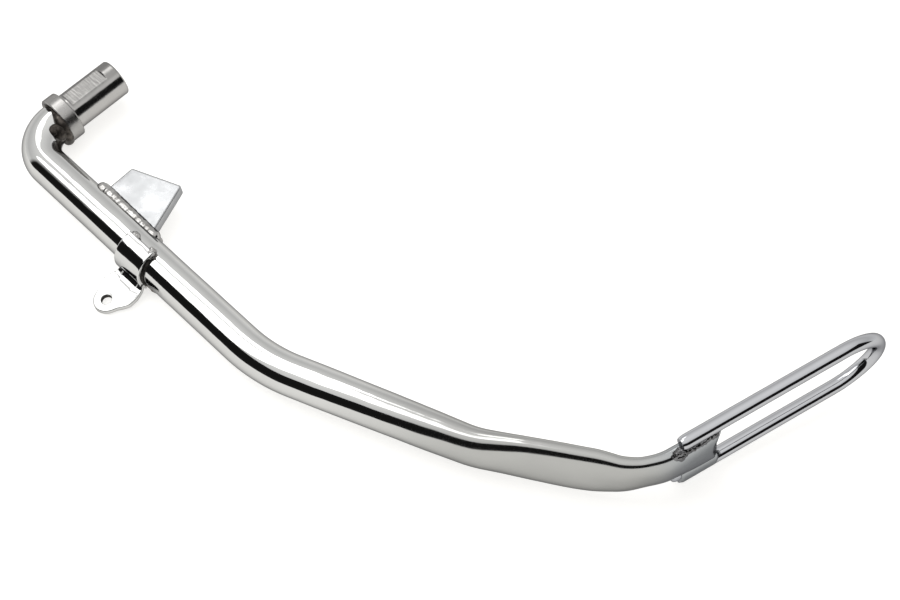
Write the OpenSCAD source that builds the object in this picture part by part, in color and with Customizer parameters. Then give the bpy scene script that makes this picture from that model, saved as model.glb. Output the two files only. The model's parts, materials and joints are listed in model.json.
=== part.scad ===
// Chromed motorcycle kickstand. Units are mm and +Z is up.
// The pin axis is the Y axis and the front face of the collar is at y = 0.
// The leg lies flat: every bend is in the XY plane.

/* [Bar] */
// Diameter of the round bar the leg is made from
bar_d = 15.9; // [13:0.1:19]
// Straight length of the neck behind the collar
neck_l = 0.6; // [0.4:0.1:6]
// Centreline radius of the tight bend next to the pin
bend1_r = 15.2; // [12:0.1:20]
// Length of the upper leg, pin axis to second bend
leg_a = 145; // [125:1:190]
// Length of the middle leg, second bend to third bend
leg_b = 84.5; // [70:0.5:120]
// Length of the lower leg, third bend to the foot bend
leg_c = 60.5; // [52:0.5:80]

/* [Bends] */
// Turn of the second bend, in degrees
bend2 = 20.3; // [10:0.1:28]
// Centreline radius of the second bend
bend2_r = 70; // [40:1:110]
// Turn of the third bend, in degrees
bend3 = 11; // [6:0.1:16]
// Centreline radius of the third bend
bend3_r = 45; // [30:1:80]
// Turn of the foot bend, in degrees
bend4 = 43.8; // [30:0.1:55]
// Centreline radius of the foot bend
bend4_r = 26; // [20:1:50]

/* [Pivot pin] */
// Diameter of the pivot pin
pin_d = 15.8; // [13:0.1:18]
// Length of the pivot pin in front of the collar
pin_l = 25; // [18:0.5:36]
// Chamfer on the free end of the pin
pin_chamfer = 0.9; // [0.3:0.1:2]
// Diameter of the thrust collar
collar_d = 20.2; // [19.4:0.1:26]
// Thickness of the thrust collar
collar_t = 5.9; // [4:0.1:8]
// Depth of the milled flat on the pin
flat_depth = 0.8; // [0.3:0.1:1.2]
// Full round length left between the flat and the free end
flat_gap = 5.4; // [3:0.1:8]
// Diameter of the tapped hole in the pin end
tap_d = 6.6; // [5:0.1:8]
// Depth of the tapped hole
tap_depth = 16; // [8:0.5:18]

/* [Stop plate] */
// Thickness of the stop plate
stop_t = 4.8; // [3:0.1:8]
// Distance from the pin axis to the near side of the stop plate
stop_x = 42; // [36:0.5:50]
// Length of the root of the stop plate along the leg
stop_root = 29.5; // [24:0.5:34]
// Height of the near corner above the upper leg axis
stop_near_h = 21.5; // [18:0.5:26]
// Height of the far corner above the upper leg axis
stop_far_h = 29.6; // [24:0.5:34]
// How far the outer edge reaches along the leg
stop_top = 21.3; // [16:0.1:26]
// Corner radius of the stop plate
stop_round = 1.2; // [0.6:0.1:2.5]

/* [Spring bracket] */
// Thickness of the bracket sheet
sheet_t = 2.3; // [1.5:0.1:3]
// Distance from the pin axis to the near side of the bracket
bracket_x = 69.8; // [60:0.1:90]
// Width of the bracket along the leg
bracket_w = 14.4; // [11:0.1:20]
// Distance from the upper leg axis to the hole in the tab
hook_reach = 22; // [19:0.1:28]
// Diameter of the spring hole
hook_d = 4.2; // [3:0.1:6]
// Radius of the round end of the tab
tab_end_r = 5.2; // [4.4:0.1:7]
// Greatest width of the tab along the leg
tab_w = 16.8; // [13:0.1:20]
// Drop of the top of the tab below the leg axis
tab_drop = 4; // [3:0.1:4.6]

/* [Foot] */
// Width of the flattened foot
foot_w = 22; // [19:0.1:24]
// Thickness of the flattened foot at its end
foot_t = 6; // [5:0.1:8]
// Length of the foot past the foot bend corner
foot_l = 30; // [24:0.5:36]
// Radius of the hollow end of the foot
foot_end_r = 17; // [14:0.5:30]
// Diameter of the foot loop rod
rod_d = 5.4; // [4.5:0.1:6.5]
// Start of the loop arms past the foot bend corner
loop_start = 14; // [12:0.5:18]
// Length of the loop from the foot bend corner to its tip
loop_l = 99; // [80:0.5:125]

/* [Hidden] */
$fn = 96;

bar_r = bar_d / 2;
pin_r = pin_d / 2;
collar_r = collar_d / 2;
rod_r = rod_d / 2;
// Distance from the collar face to the axis of the upper leg
leg_off = collar_t + neck_l + bend1_r;
// Gap between the edge of the foot and the loop rod
arm_gap = 0.15;
// Height of the loop arms above and below the bend plane
arm_z = foot_w / 2 + rod_r + arm_gap;
// Small overlap for cutting tools
cut = 0.5;

// Pivot pin: start of the flat, fillet at the collar, edges of the collar
flat_from = 1.2;
pin_fillet = 0.4;
collar_edge = 0.6;
// Turn of the round pin shape about its own axis; no surface depends on it
pin_seam = -25;
// Length of the weld behind the collar and its rise above the bar
neck_weld_l = 2.2;
neck_weld_rise = 0.2;
neck_weld_min = 1.5;
neck_weld_r = max(collar_r - collar_edge, bar_r + neck_weld_min);

// Stop plate: setback of the root at the near side, tall side kept square
root_setback = 0.8;
root_side_h = 0.5;
// Radius of the stop weld bead, and its depth in the crown of the bar
bead_r = 3.1;
bead_sink = 0.4;
// How far the bead runs past the ends of the plate
bead_past_near = 1;
bead_past_far = 4;
// Height of the bead above the face of the plate
bead_lift = 0.2;

// Spring bracket: angle of the top seam of the saddle
seam_a = 86;
// Shift of the tab along the leg, and setbacks of its root on each side
tab_shift = 0.8;
tab_setback = 1.2;
tab_setback_far = 0.6;
tab_root_h = 0.5;
// Distance from the leg axis to the widest part of the tab
tab_belly = 17;
// Weld tacks on the saddle: distance in from each side, radius, place on the bar
tack_in_near = 2.6;
tack_in_far = 2.2;
tack_r_near = 1.9;
tack_r_far = 2.2;
tack_across = 1.6;
tack_lift = 0.4;
// Bead under the saddle: radius, start, run past the far side, angle past the tab
under_r = 2.3;
under_start = 1;
under_past = 5;
under_a = 9;

// Foot: depth of the hollow end
foot_hollow = 3.4;
// Loop welds: radius, offset to each side, start past the rod end, stop short of the foot end
loop_bead_r = 2.2;
loop_bead_off = 2.1;
loop_bead_start = 1;
loop_bead_short = 0.5;
// Pools of weld at the ends of the rod: radius, place along, outward and inward
pool_r = 3.6;
pool_back = 1.4;
pool_out = 2;
pool_in = 1.2;
// The pool stops this far past the end of the rod
pool_stop = 1;

// Headings of the straight lengths
a2 = bend2;
a3 = a2 + bend3;
a4 = a3 + bend4;

// Half lengths taken by each bend
t2 = bend2_r * tan(bend2 / 2);
t3 = bend3_r * tan(bend3 / 2);
t4 = bend4_r * tan(bend4 / 2);

function heading(a) = [cos(a), sin(a)];

// Corners of the centreline, bends left out
v2 = [leg_a, -leg_off];
v3 = v2 + leg_b * heading(a2);
v4 = v3 + leg_c * heading(a3);

// Centres of the third and fourth bends, on the left of travel
c3 = v3 - t3 * heading(a2) + bend3_r * heading(a2 + 90);
c4 = v4 - t4 * heading(a3) + bend4_r * heading(a3 + 90);

// Length of the forging ahead of the third bend
forge_in = 62;
// Steps of the forged part round each bend
n3 = 3;
n4 = 8;

// Distances ahead of the third bend at which the section is set
lead_in = [forge_in, 50, 40, 30, 20, 10];
// Steps along the straight between the third and foot bends
nc = 4;

// Stations of the forged part: x, y and heading
function on_b(d) = concat(v3 - d * heading(a2), [a2]);
function on_c(d) = concat(v3 + d * heading(a3), [a3]);
function on_d(d) = concat(v4 + d * heading(a4), [a4]);
function round3(a) = concat(c3 + bend3_r * heading(a - 90), [a]);
function round4(a) = concat(c4 + bend4_r * heading(a - 90), [a]);

c_free = leg_c - t3 - t4;
stations = concat(
  [for (d = lead_in) on_b(d)],
  [for (i = [0 : n3]) round3(a2 + bend3 * i / n3)],
  [for (i = [1 : nc - 1]) on_c(t3 + c_free * i / nc)],
  [for (i = [0 : n4]) round4(a3 + bend4 * i / n4)],
  [on_d(t4 + (foot_l - t4) / 2), on_d(foot_l)]);

// Distance of every station from the first, straight from point to point
function step(i) = norm([stations[i][0] - stations[i - 1][0], stations[i][1] - stations[i - 1][1]]);
function run(i) = i == 0 ? 0 : run(i - 1) + step(i);
total = run(len(stations) - 1);

// Section at the start of the forging, just enough to take in the round bar
start_grow = 1.008;
start_r = bar_r * start_grow;
// Overlap of the round bar and the forging
forge_lap = 0.3;

// Half thickness and half width of the forging along its length
half_t = [[0, start_r], [0.05, bar_r * 0.985], [0.25, bar_r * 0.9], [0.41, bar_r * 0.75],
  [0.545, foot_t / 2 + 1.7], [0.68, foot_t / 2 + 1.4], [0.76, foot_t / 2 + 0.9],
  [0.81, foot_t / 2 + 0.6], [0.87, foot_t / 2 + 0.8], [1, foot_t / 2]];
half_w = [[0, start_r], [0.05, bar_r * 1.02], [0.25, bar_r * 1.06], [0.41, bar_r * 1.14],
  [0.545, foot_w / 2 - 0.4], [0.68, foot_w / 2 + 0.2], [0.76, foot_w / 2 - 0.8],
  [0.81, foot_w / 2 - 1.5], [0.87, foot_w / 2 - 1.3], [1, foot_w / 2]];
// Squareness of the section, 2 is round
square_n = [[0, 2], [0.41, 2.1], [0.68, 2.4], [0.87, 2.4], [1, 3.6]];
// Twist of the section about the length of the forging, in degrees
twist = [[0, 0], [0.05, 4], [0.25, 9], [0.41, 10], [0.545, 11], [0.68, 9], [0.76, 3], [0.81, 0], [1, 0]];
// Shift of the section towards the outside of the foot bend
shift = [[0, 0], [0.6, 0], [0.74, -0.6], [0.81, -1.2], [0.87, -0.6], [1, 0]];

sides = 40;
function power(v, n) = sign(v) * pow(abs(v), 2 / n);
function ring_point(s, q, a) =
  let (x = lookup(q, half_t) * power(cos(a), lookup(q, square_n)),
       z = lookup(q, half_w) * power(sin(a), lookup(q, square_n)),
       tw = lookup(q, twist),
       h = x * cos(tw) - z * sin(tw) + lookup(q, shift),
       w = x * sin(tw) + z * cos(tw))
  [s[0] + h * sin(s[2]), s[1] - h * cos(s[2]), w];
rings = [for (i = [0 : len(stations) - 1]) for (k = [0 : sides - 1])
  ring_point(stations[i], run(i) / total, 360 * k / sides)];

// Length and rise of the bands that tie lengths of rod together
band_l = 0.6;
band_rise = 0.02;

// Rod drawn along +X
module rod(l, r) {
  rotate([0, 90, 0])
    cylinder(h = l, r = r);
}

// Thin band that ties two lengths of one rod together, across +X
module band(r) {
  rotate([0, 90, 0])
    cylinder(h = band_l, r = r + band_rise, center = true);
}

// Part of a bend in the XY plane about the origin
module bend(r, section_r, from, turn) {
  rotate([0, 0, from])
    rotate_extrude(angle = turn)
      translate([r, 0])
        circle(r = section_r);
}

// The bar up to the start of the forging
module plain_bar() {
  translate([0, -collar_t, 0])
    rotate([90, 0, 0])
      cylinder(h = neck_l, r = bar_r);
  translate([bend1_r, -leg_off + bend1_r, 0])
    bend(bend1_r, bar_r, 180, 90);
  translate([bend1_r, -leg_off, 0])
    rod(leg_a - t2 - bend1_r, bar_r);
  translate([leg_a - t2, -leg_off, 0])
    band(bar_r);
  translate([leg_a - t2, -leg_off + bend2_r, 0])
    bend(bend2_r, bar_r, 270, bend2);
  translate([v2[0], v2[1], 0])
    rotate([0, 0, a2])
      translate([t2, 0, 0]) {
        band(bar_r);
        rod(leg_b - t2 - forge_in + forge_lap, bar_r);
      }
}

// The forged part: round at the start, flat at the foot
module forging() {
  n = len(stations);
  polyhedron(
    points = rings,
    faces = concat(
      [[for (k = [sides - 1 : -1 : 0]) k]],
      [for (i = [0 : n - 2]) for (k = [0 : sides - 1])
        [i * sides + k, i * sides + (k + 1) % sides, (i + 1) * sides + k]],
      [for (i = [0 : n - 2]) for (k = [0 : sides - 1])
        [i * sides + (k + 1) % sides, (i + 1) * sides + (k + 1) % sides, (i + 1) * sides + k]],
      [[for (k = [0 : sides - 1]) (n - 1) * sides + k]]));
}

// Places its children at the foot bend corner, +X along the foot
module at_foot() {
  translate([v4[0], v4[1], 0])
    rotate([0, 0, a4])
      children();
}

module leg() {
  color("silver")
    difference() {
      union() {
        plain_bar();
        forging();
      }
      at_foot()
        translate([foot_l + foot_end_r - foot_hollow, 0, 0])
          rotate([90, 0, 0])
            cylinder(h = 2 * foot_w, r = foot_end_r, center = true);
    }
}

module pivot_pin() {
  color("gainsboro")
    difference() {
      rotate([-90, pin_seam, 0])
        rotate_extrude()
          polygon([[0, -collar_t], [collar_r - collar_edge, -collar_t],
            [collar_r, -collar_t + collar_edge], [collar_r, -collar_edge],
            [collar_r - collar_edge, 0], [pin_r + pin_fillet, 0], [pin_r, pin_fillet],
            [pin_r, pin_l - pin_chamfer], [pin_r - pin_chamfer, pin_l], [0, pin_l]]);
      translate([-pin_r, flat_from, pin_r - flat_depth])
        cube([pin_d, pin_l - flat_gap - flat_from, flat_depth + cut]);
      translate([0, pin_l + cut, 0])
        rotate([90, 0, 0])
          cylinder(h = tap_depth + cut, d = tap_d);
    }
}

// Bead round the neck, behind the collar
module pin_weld() {
  color("dimgray")
    difference() {
      translate([0, -collar_t, 0])
        rotate([90, 0, 0])
          cylinder(h = neck_weld_l, r1 = neck_weld_r, r2 = bar_r + neck_weld_rise);
      plain_bar();
    }
}

module stop_shape() {
  r = stop_round;
  translate([stop_x, -leg_off, 0])
    hull() {
      translate([r, stop_near_h - r])
        circle(r = r, $fn = 32);
      translate([stop_top - r, stop_far_h - r])
        circle(r = r, $fn = 32);
      translate([root_setback, 0])
        square([cut, cut]);
      translate([stop_root - cut, 0])
        square([cut, bar_r + root_side_h]);
    }
}

module upper_leg_hole() {
  translate([0, -leg_off, 0])
    rod(leg_a - t2, bar_r);
}

module stop_plate() {
  color("lightgray")
    difference() {
      translate([0, 0, -stop_t / 2])
        linear_extrude(height = stop_t)
          stop_shape();
      upper_leg_hole();
    }
}

// Fillet bead in the corner between the bar and the stop plate
module stop_bead() {
  l = stop_root + bead_past_near + bead_past_far;
  color("gray")
    difference() {
      translate([stop_x - bead_past_near, -leg_off + bar_r - bead_sink, stop_t / 2 + bead_lift])
        union() {
          rod(l, bead_r);
          sphere(r = bead_r);
          translate([l, 0, 0])
            sphere(r = bead_r);
        }
      upper_leg_hole();
      translate([0, 0, -stop_t / 2])
        linear_extrude(height = stop_t)
          stop_shape();
      translate([0, -leg_off - bar_r, -bar_d])
        cube([leg_a, 2 * bar_d, bar_d]);
    }
}

module stop_weld_upper() {
  stop_bead();
}

module stop_weld_lower() {
  mirror([0, 0, 1])
    stop_bead();
}

// Overlap of the tab and the saddle at the root
root_lap = 0.2;
// Angle on the saddle where the tab leaves it
tab_a = 180 + asin((tab_drop + sheet_t) / (bar_r + sheet_t));

module spring_bracket() {
  so = bar_r + sheet_t;
  mid = bracket_x + bracket_w / 2 + tab_shift;
  color("whitesmoke")
    difference() {
      union() {
        translate([bracket_x, -leg_off, 0])
          rotate([90, 0, 90])
            rotate([0, 0, seam_a])
              rotate_extrude(angle = tab_a - seam_a)
                translate([bar_r, 0])
                  square([sheet_t, bracket_w]);
        translate([mid, -leg_off, -tab_drop - sheet_t])
          difference() {
            linear_extrude(height = sheet_t)
              difference() {
                hull() {
                  translate([-bracket_w / 2 + tab_setback, -bar_r - tab_root_h])
                    square([bracket_w - tab_setback - tab_setback_far, tab_root_h]);
                  translate([0, -tab_belly])
                    circle(d = tab_w);
                  translate([0, -hook_reach])
                    circle(r = tab_end_r);
                }
                translate([0, -hook_reach])
                  circle(d = hook_d);
              }
            translate([-bracket_w, 0, tab_drop + sheet_t])
              rod(3 * bracket_w, so - root_lap);
          }
      }
      upper_leg_hole();
    }
}

// A blob of weld on the top seam of the saddle
module tack(x, r) {
  color("dimgray")
    difference() {
      translate([x, -leg_off + tack_across, bar_r + tack_lift])
        sphere(r = r);
      upper_leg_hole();
    }
}

module bracket_tack_near() {
  tack(bracket_x + tack_in_near, tack_r_near);
}

module bracket_tack_far() {
  tack(bracket_x + bracket_w - tack_in_far, tack_r_far);
}

// Fillet bead under the bar, from the lower edge of the saddle
module bracket_weld() {
  a = tab_a + under_a;
  r = bar_r + tack_lift;
  l = bracket_w + under_past - under_start;
  color("dimgray")
    difference() {
      translate([bracket_x + under_start, -leg_off + r * cos(a), r * sin(a)])
        union() {
          rod(l, under_r);
          translate([l, 0, 0])
            sphere(r = under_r);
        }
      upper_leg_hole();
      spring_bracket();
    }
}

// One side of the loop, from its start to the tip
loop_side_turn = 40;
loop_tip_part = 0.85;
loop_tip_r = arm_z * loop_tip_part;
loop_side_r = (arm_z - loop_tip_r * cos(loop_side_turn)) / (1 - cos(loop_side_turn));
loop_bend_l = loop_side_r * sin(loop_side_turn) + loop_tip_r * (1 - sin(loop_side_turn));
arm_l = loop_l - loop_start - loop_bend_l;

module foot_loop() {
  color("silver")
    at_foot()
      rotate([90, 0, 0])
        union() {
          for (s = [-1, 1])
            translate([loop_start, s * arm_z, 0]) {
              rod(arm_l, rod_r);
              translate([arm_l, 0, 0])
                band(rod_r);
            }
          for (s = [-1, 1])
            translate([loop_l - loop_tip_r, 0, 0])
              rotate([0, 0, s * (90 - loop_side_turn)])
                translate([loop_tip_r, 0, 0])
                  rotate([0, 0, 90])
                    band(rod_r);
          translate([loop_start + arm_l, arm_z - loop_side_r, 0])
            bend(loop_side_r, rod_r, 90 - loop_side_turn, loop_side_turn);
          translate([loop_start + arm_l, loop_side_r - arm_z, 0])
            bend(loop_side_r, rod_r, -90, loop_side_turn);
          translate([loop_l - loop_tip_r, 0, 0])
            bend(loop_tip_r, rod_r, loop_side_turn - 90, 180 - 2 * loop_side_turn);
        }
}

// Bead between a loop arm and the edge of the foot
module loop_bead() {
  l = foot_l - loop_start - loop_bead_start - loop_bead_short;
  color("dimgray")
    at_foot()
      translate([loop_start + loop_bead_start, 0, arm_z - rod_r])
        for (s = [-1, 1])
          translate([0, s * loop_bead_off, 0])
            rod(l, loop_bead_r);
}

module loop_weld_upper() {
  loop_bead();
}

module loop_weld_lower() {
  mirror([0, 0, 1])
    loop_bead();
}

// Pool of weld at the cut end of a loop arm
module end_pool() {
  color("dimgray")
    at_foot()
      difference() {
        translate([loop_start - pool_back, -pool_out, arm_z - rod_r - pool_in])
          sphere(r = pool_r);
        translate([loop_start + pool_stop, -foot_w, 0])
          cube([foot_w, 2 * foot_w, foot_w]);
      }
}

module loop_end_weld_upper() {
  end_pool();
}

module loop_end_weld_lower() {
  mirror([0, 0, 1])
    end_pool();
}

leg();
pivot_pin();
pin_weld();
stop_plate();
stop_weld_upper();
stop_weld_lower();
spring_bracket();
bracket_tack_near();
bracket_tack_far();
bracket_weld();
foot_loop();
loop_weld_upper();
loop_weld_lower();
loop_end_weld_upper();
loop_end_weld_lower();
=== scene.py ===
import json
import math
import bpy
from mathutils import Matrix, Vector, noise

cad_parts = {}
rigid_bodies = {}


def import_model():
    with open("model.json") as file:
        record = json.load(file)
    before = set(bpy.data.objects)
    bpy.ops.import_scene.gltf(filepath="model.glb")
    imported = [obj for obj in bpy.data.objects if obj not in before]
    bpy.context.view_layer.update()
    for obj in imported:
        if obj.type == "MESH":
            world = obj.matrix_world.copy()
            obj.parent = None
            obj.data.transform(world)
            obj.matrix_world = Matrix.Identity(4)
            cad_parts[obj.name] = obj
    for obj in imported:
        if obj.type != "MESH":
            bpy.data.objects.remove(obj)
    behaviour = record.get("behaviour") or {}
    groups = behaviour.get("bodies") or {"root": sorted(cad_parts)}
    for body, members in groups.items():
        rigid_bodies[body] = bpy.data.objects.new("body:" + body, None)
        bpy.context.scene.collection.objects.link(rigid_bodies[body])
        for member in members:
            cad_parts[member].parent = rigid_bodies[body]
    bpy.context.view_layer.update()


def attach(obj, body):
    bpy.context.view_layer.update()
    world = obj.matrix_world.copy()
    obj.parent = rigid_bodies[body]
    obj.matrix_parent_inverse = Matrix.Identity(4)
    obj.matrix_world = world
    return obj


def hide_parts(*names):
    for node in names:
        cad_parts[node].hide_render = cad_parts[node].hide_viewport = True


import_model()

# ---------------------------------------------------------------- sizes, mm
BAR_R = 15.9 / 2
COLLAR_T = 5.9
NECK_L = 0.6
BEND1_R = 15.2
LEG_OFF = COLLAR_T + NECK_L + BEND1_R
LEG_A = 145.0
LEG_B = 84.5
LEG_C = 60.5
BEND2, BEND2_R = 20.3, 70.0
BEND3, BEND3_R = 11.0, 45.0
BEND4, BEND4_R = 43.8, 26.0
FORGE_IN = 62.0
PIN_R = 7.9
PIN_L = 25.0
PIN_CHAMFER = 0.9
COLLAR_R = 10.1
FLAT_DEPTH = 0.8
FLAT_FROM, FLAT_TO = 1.2, 19.6
TAP_R = 3.3
TAP_DEPTH = 16.0
STOP_T = 4.8
STOP_X = 42.0
STOP_ROOT = 29.5
STOP_NEAR_H = 21.5
STOP_FAR_H = 29.6
STOP_TOP = 21.3
SHEET_T = 2.3
BRACKET_X = 69.8
BRACKET_W = 14.4
HOOK_REACH = 22.0
HOOK_R = 2.1
TAB_END_R = 5.2
TAB_W = 16.8
TAB_DROP = 4.0
FOOT_W = 22.0
FOOT_T = 6.0
FOOT_L = 30.0
ROD_R = 2.7
LOOP_START = 14.0
LOOP_L = 99.0
ARM_Z = FOOT_W / 2 + ROD_R + 0.15

MM = 0.001


def heading(a):
    return Vector((math.cos(math.radians(a)), math.sin(math.radians(a)), 0.0))


A2 = BEND2
A3 = A2 + BEND3
A4 = A3 + BEND4
T2 = BEND2_R * math.tan(math.radians(BEND2 / 2))
T3 = BEND3_R * math.tan(math.radians(BEND3 / 2))
T4 = BEND4_R * math.tan(math.radians(BEND4 / 2))
V2 = Vector((LEG_A, -LEG_OFF, 0.0))
V3 = V2 + LEG_B * heading(A2)
V4 = V3 + LEG_C * heading(A3)
FOOT_DIR = heading(A4)
FOOT_OUT = heading(A4 - 90)      # towards the outside of the foot bend
UP = Vector((0.0, 0.0, 1.0))


# ---------------------------------------------------------------- mesh tools
def smooth_step(a, b, x):
    t = min(1.0, max(0.0, (x - a) / (b - a)))
    return t * t * (3 - 2 * t)


def soft_lookup(x, table):
    """Smooth curve through a table of (x, value)."""
    if x <= table[0][0]:
        return table[0][1]
    for i in range(len(table) - 1):
        x0, y0 = table[i]
        x1, y1 = table[i + 1]
        if x <= x1:
            def slope(k):
                if k == 0 or k == len(table) - 1:
                    return 0.0
                a = (table[k][1] - table[k - 1][1]) / (table[k][0] - table[k - 1][0])
                b = (table[k + 1][1] - table[k][1]) / (table[k + 1][0] - table[k][0])
                return 0.0 if a * b <= 0 else 2 * a * b / (a + b)
            h = x1 - x0
            t = (x - x0) / h
            m0, m1 = slope(i) * h, slope(i + 1) * h
            return ((2 * t**3 - 3 * t**2 + 1) * y0 + (t**3 - 2 * t**2 + t) * m0
                    + (-2 * t**3 + 3 * t**2) * y1 + (t**3 - t**2) * m1)
    return table[-1][1]


def add_mesh(name, verts, faces, material, sharp=40.0):
    me = bpy.data.meshes.new(name)
    me.from_pydata([tuple(v * MM) for v in verts], [], faces)
    me.validate()
    me.update()
    for p in me.polygons:
        p.use_smooth = True
    ob = bpy.data.objects.new(name, me)
    bpy.context.collection.objects.link(ob)
    me.materials.append(material)
    if sharp:
        me.set_sharp_from_angle(angle=math.radians(sharp))
    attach(ob, "root")
    return ob


def skin(rings, closed=False, caps=True):
    """Faces over a list of equal rings of points."""
    n = len(rings[0])
    verts = [v for r in rings for v in r]
    faces = []
    last = len(rings) if closed else len(rings) - 1
    for i in range(last):
        j = (i + 1) % len(rings)
        for k in range(n):
            m = (k + 1) % n
            faces.append((i * n + k, i * n + m, j * n + m, j * n + k))
    if caps and not closed:
        faces.append(tuple(range(n - 1, -1, -1)))
        faces.append(tuple((len(rings) - 1) * n + k for k in range(n)))
    return verts, faces


def fbm(p, scale, octaves=3):
    v, amp = 0.0, 1.0
    q = Vector(p) / scale
    for _ in range(octaves):
        v += amp * noise.noise(q)
        q = q * 2.03 + Vector((3.1, 7.7, 1.3))
        amp *= 0.5
    return v


# ---------------------------------------------------------------- materials
def new_material(name):
    m = bpy.data.materials.new(name)
    m.use_nodes = True
    nt = m.node_tree
    return m, nt, nt.nodes["Principled BSDF"]


def add(nt, kind, **values):
    node = nt.nodes.new(kind)
    for k, v in values.items():
        if k in node.inputs:
            node.inputs[k].default_value = v
        else:
            setattr(node, k, v)
    return node


def ramp(nt, source, stops):
    r = nt.nodes.new("ShaderNodeValToRGB")
    els = r.color_ramp.elements
    while len(els) < len(stops):
        els.new(0.5)
    for e, (pos, c) in zip(els, stops):
        e.position = pos
        e.color = (c, c, c, 1) if isinstance(c, (int, float)) else (*c, 1)
    nt.links.new(source, r.inputs["Fac"])
    return r


def chrome(name, tint, rough, cloud, cloud_scale, bump, tint2=None, wave_depth=0.0003):
    """Plated metal: slight clouds in the shine, and tiny pits and wipe marks."""
    m, nt, b = new_material(name)
    b.inputs["Metallic"].default_value = 1.0
    b.inputs["Roughness"].default_value = rough
    b.inputs["Specular Tint"].default_value = (0.3, 0.3, 0.31, 1)
    co = add(nt, "ShaderNodeTexCoord")
    big = add(nt, "ShaderNodeTexNoise", Scale=cloud_scale, Detail=4.0, Roughness=0.6)
    nt.links.new(co.outputs["Object"], big.inputs["Vector"])
    r = ramp(nt, big.outputs["Fac"], [(0.35, rough), (0.68, rough + cloud)])
    nt.links.new(r.outputs["Color"], b.inputs["Roughness"])
    c = ramp(nt, big.outputs["Fac"], [(0.3, tint), (0.7, tint2 or tuple(0.95 * t for t in tint))])
    nt.links.new(c.outputs["Color"], b.inputs["Base Color"])
    fine = add(nt, "ShaderNodeTexNoise", Scale=900.0, Detail=3.0, Roughness=0.55)
    nt.links.new(co.outputs["Object"], fine.inputs["Vector"])
    wave = add(nt, "ShaderNodeTexNoise", Scale=55.0, Detail=2.0, Roughness=0.5)
    nt.links.new(co.outputs["Object"], wave.inputs["Vector"])
    b1 = add(nt, "ShaderNodeBump", Strength=bump, Distance=0.00004)
    nt.links.new(fine.outputs["Fac"], b1.inputs["Height"])
    b2 = add(nt, "ShaderNodeBump", Strength=0.5, Distance=wave_depth)
    nt.links.new(wave.outputs["Fac"], b2.inputs["Height"])
    nt.links.new(b1.outputs["Normal"], b2.inputs["Normal"])
    nt.links.new(b2.outputs["Normal"], b.inputs["Normal"])
    return m


def weld_metal(name, dark, light, rough0, rough1, scale=260.0):
    m, nt, b = new_material(name)
    b.inputs["Metallic"].default_value = 1.0
    b.inputs["Roughness"].default_value = rough0
    co = add(nt, "ShaderNodeTexCoord")
    n1 = add(nt, "ShaderNodeTexNoise", Scale=scale, Detail=5.0, Roughness=0.65)
    nt.links.new(co.outputs["Object"], n1.inputs["Vector"])
    between = tuple((a + d) / 2 for a, d in zip(dark, light))
    c = ramp(nt, n1.outputs["Fac"], [(0.3, dark), (0.5, between), (0.68, light)])
    nt.links.new(c.outputs["Color"], b.inputs["Base Color"])
    r = ramp(nt, n1.outputs["Fac"], [(0.35, rough1), (0.7, rough0)])
    nt.links.new(r.outputs["Color"], b.inputs["Roughness"])
    n2 = add(nt, "ShaderNodeTexNoise", Scale=900.0, Detail=4.0, Roughness=0.7)
    nt.links.new(co.outputs["Object"], n2.inputs["Vector"])
    bp = add(nt, "ShaderNodeBump", Strength=0.6, Distance=0.00012)
    nt.links.new(n2.outputs["Fac"], bp.inputs["Height"])
    nt.links.new(bp.outputs["Normal"], b.inputs["Normal"])
    return m


def fade_in(m, axis, start, full, tint, extra_rough, *also):
    """Tints and roughens a plated metal gradually along an axis of the frame, or within several limits."""
    nt = m.node_tree
    b = nt.nodes["Principled BSDF"]
    co = add(nt, "ShaderNodeTexCoord")
    xyz = nt.nodes.new("ShaderNodeSeparateXYZ")
    nt.links.new(co.outputs["Object"], xyz.inputs["Vector"])

    def mask(name, low, high):
        n = add(nt, "ShaderNodeMapRange", interpolation_type="SMOOTHSTEP")
        n.inputs["From Min"].default_value = low
        n.inputs["From Max"].default_value = high
        nt.links.new(xyz.outputs[name], n.inputs["Value"])
        return n.outputs["Result"]

    fade = mask(axis, start, full)
    for limit in also:
        both = add(nt, "ShaderNodeMath", operation="MULTIPLY")
        nt.links.new(fade, both.inputs[0])
        nt.links.new(mask(*limit), both.inputs[1])
        fade = both.outputs["Value"]
    mix = add(nt, "ShaderNodeMix", data_type="RGBA", blend_type="MULTIPLY")
    mix.inputs[7].default_value = tint
    nt.links.new(fade, mix.inputs[0])
    nt.links.new(b.inputs["Base Color"].links[0].from_socket, mix.inputs[6])
    nt.links.new(mix.outputs[2], b.inputs["Base Color"])
    more = add(nt, "ShaderNodeMath", operation="MULTIPLY_ADD")
    more.inputs[1].default_value = extra_rough
    nt.links.new(fade, more.inputs[0])
    nt.links.new(b.inputs["Roughness"].links[0].from_socket, more.inputs[2])
    nt.links.new(more.outputs["Value"], b.inputs["Roughness"])
    return fade, co


def milled(m, fade, co):
    """Fine ticks left by the cutter, across the pin, where the fade is full; the ticks brighter than the
    base colour are painted glints.
    """
    nt = m.node_tree
    b = nt.nodes["Principled BSDF"]
    place = add(nt, "ShaderNodeMapping", Scale=(110.0, 2400.0, 1.0))
    nt.links.new(co.outputs["Object"], place.inputs["Vector"])
    ticks = add(nt, "ShaderNodeTexNoise", Scale=1.0, Detail=3.0, Roughness=0.6)
    nt.links.new(place.outputs["Vector"], ticks.inputs["Vector"])
    # tone of the cutter's ticks; values over 1 are painted glints
    shade = ramp(nt, ticks.outputs["Fac"], [(0.36, 0.75), (0.5, 0.95), (0.6, 1.05), (0.7, 1.35)])
    mix = add(nt, "ShaderNodeMix", data_type="RGBA", blend_type="MULTIPLY")
    nt.links.new(fade, mix.inputs[0])
    nt.links.new(b.inputs["Base Color"].links[0].from_socket, mix.inputs[6])
    nt.links.new(shade.outputs["Color"], mix.inputs[7])
    nt.links.new(mix.outputs[2], b.inputs["Base Color"])


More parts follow.
